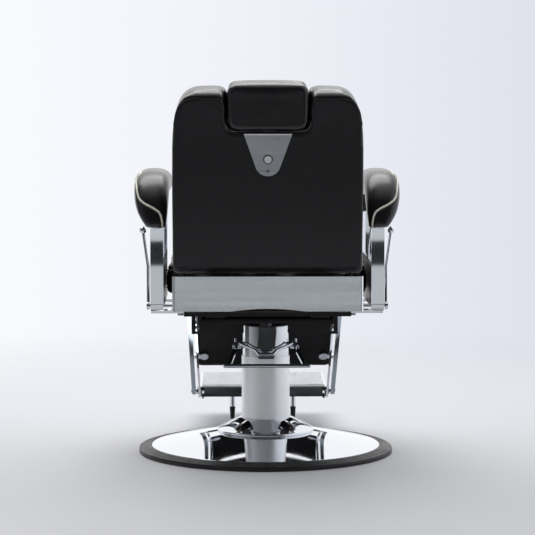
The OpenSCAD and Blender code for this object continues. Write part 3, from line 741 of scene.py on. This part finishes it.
def area(name, spot, aim, size, power, colour=(1, 1, 1)):
    data = bpy.data.lights.new(name, "AREA")
    data.shape = "RECTANGLE"
    data.size, data.size_y = size
    data.energy = power
    data.color = colour
    o = bpy.data.objects.new(name, data)
    o.location = spot
    o.rotation_euler = (Vector(aim) - Vector(spot)).to_track_quat("-Z", "Y").to_euler()
    scene.collection.objects.link(o)
    return o


area("overhead", (0.3, -0.7, 2.9), (0, -0.05, 0.5), (2.8, 1.8), 52)
fill = area("fill", (0.9, 3.6, 1.7), (0, 0, 0.3), (2.0, 2.0), 26)
fill.visible_glossy = False


def card(name, x0, x1, y0, y1, glow):
    """A card on the floor behind the camera, for the polished parts to mirror. The camera never sees it."""
    me = bpy.data.meshes.new(name)
    me.from_pydata([(x0, y0, 0.001), (x1, y0, 0.001), (x1, y1, 0.001), (x0, y1, 0.001)], [], [[0, 1, 2, 3]])
    o = bpy.data.objects.new(name, me)
    scene.collection.objects.link(o)
    m = bpy.data.materials.new(name)
    m.use_nodes = True
    t = m.node_tree
    shader = t.nodes["Principled BSDF"]
    shader.inputs["Base Color"].default_value = (0, 0, 0, 1)
    shader.inputs["Specular IOR Level"].default_value = 0
    shader.inputs["Emission Color"].default_value = (0.93, 0.97, 1.0, 1)
    shader.inputs["Emission Strength"].default_value = glow
    me.materials.append(m)
    o.visible_camera = o.visible_diffuse = o.visible_shadow = False


card("dark_card", -2.6, 1.7, 1.75, 3.7, 0.03)
card("pale_card", -2.4, 2.4, 3.9, 6.8, 0.55)
card("far_card", -3.0, 3.0, 8.75, 12.5, 0.60)


def sky():
    w = bpy.data.worlds.new("studio")
    scene.world = w
    w.use_nodes = True
    t = w.node_tree
    t.nodes.clear()
    out = t.nodes.new("ShaderNodeOutputWorld")
    coord = t.nodes.new("ShaderNodeTexCoord")
    axes = t.nodes.new("ShaderNodeSeparateXYZ")
    t.links.new(coord.outputs["Generated"], axes.inputs[0])

    def math_node(op, a, b=None):
        n = t.nodes.new("ShaderNodeMath")
        n.operation = op
        for i, v in enumerate((a, b)):
            if v is None:
                continue
            if isinstance(v, (int, float)):
                n.inputs[i].default_value = v
            else:
                t.links.new(v, n.inputs[i])
        return n.outputs[0]

    def ramp(fac, stops):
        n = t.nodes.new("ShaderNodeValToRGB")
        e = n.color_ramp.elements
        while len(e) > 1:
            e.remove(e[-1])
        e[0].position, e[0].color = stops[0][0], [*stops[0][1], 1]
        for p, c in stops[1:]:
            q = e.new(p)
            q.color = [*c, 1]
        t.links.new(fac, n.inputs[0])
        return n.outputs[0]

    # what the metal mirrors: angle from +Y, positive towards -X (image right), as 0..1
    turn = math_node("ARCTAN2", math_node("MULTIPLY", axes.outputs["X"], -1.0), axes.outputs["Y"])
    turn = math_node("ADD", math_node("DIVIDE", turn, 2 * math.pi), 0.5)

    def deg(d, v, tint=(1.0, 1.0, 1.0)):
        return (d / 360 + 0.5, tuple(v * c for c in tint))

    cool = (0.95, 0.98, 1.05)
    around = ramp(turn, [deg(-180, 1.06), deg(-128, 1.04), deg(-122, 0.06), deg(-94, 0.06), deg(-88, 0.40, cool),
                         deg(-60, 0.22, cool), deg(-42, 0.12, cool), deg(-30, 0.035, cool), deg(0, 0.03, cool),
                         deg(22, 0.03, cool), deg(44, 0.05), deg(50, 0.62, cool), deg(90, 0.9, cool),
                         deg(180, 1.06)])
    height = math_node("ADD", math_node("MULTIPLY", axes.outputs["Z"], 0.5), 0.5)
    up = ramp(height, [(0.0, (0.30, 0.30, 0.31)), (0.5, (0.40, 0.40, 0.41)), (0.8, (0.5, 0.5, 0.5)),
                       (1.0, (1, 1, 1))])
    cover = ramp(height, [(0.0, (1, 1, 1)), (0.25, (1, 1, 1)), (0.42, (0, 0, 0)), (0.88, (0, 0, 0)),
                          (0.97, (1, 1, 1))])
    mirrored = t.nodes.new("ShaderNodeMix")
    mirrored.data_type = "RGBA"
    t.links.new(cover, mirrored.inputs["Factor"])
    t.links.new(around, mirrored.inputs["A"])
    t.links.new(up, mirrored.inputs["B"])
    # what the camera sees behind the chair: nearly white, a shade darker to the right
    seen = ramp(math_node("ADD", math_node("MULTIPLY", axes.outputs["X"], 2.6), 0.5),
                [(0.0, (0.72, 0.735, 0.80)), (0.18, (0.755, 0.77, 0.85)), (0.5, (0.88, 0.89, 0.95)),
                 (0.82, (0.955, 0.97, 1.0)), (1.0, (0.955, 0.98, 1.0))])
    light = t.nodes.new("ShaderNodeLightPath")
    pick = t.nodes.new("ShaderNodeMix")
    pick.data_type = "RGBA"
    t.links.new(light.outputs["Is Camera Ray"], pick.inputs["Factor"])
    t.links.new(mirrored.outputs["Result"], pick.inputs["A"])
    t.links.new(seen, pick.inputs["B"])
    bg = t.nodes.new("ShaderNodeBackground")
    t.links.new(pick.outputs["Result"], bg.inputs["Color"])
    bg.inputs["Strength"].default_value = 1.0
    t.links.new(bg.outputs[0], out.inputs[0])


sky()
scene.view_settings.view_transform = "Standard"
scene.view_settings.look = "None"

YAW, PITCH = 0.018, 0.08185
cam = bpy.data.cameras.new("camera")
cam.lens = 148.92
cam.sensor_width = 36
camera = bpy.data.objects.new("camera", cam)
back = Vector((math.sin(YAW), math.cos(YAW), 0))
right = Vector((-math.cos(YAW), math.sin(YAW), 0))
camera.location = back * 6.0 + right * 0.00515 + Vector((0, 0, 0.994))
camera.rotation_euler = (math.pi / 2 - PITCH, 0, math.pi - YAW)
scene.collection.objects.link(camera)
scene.camera = camera
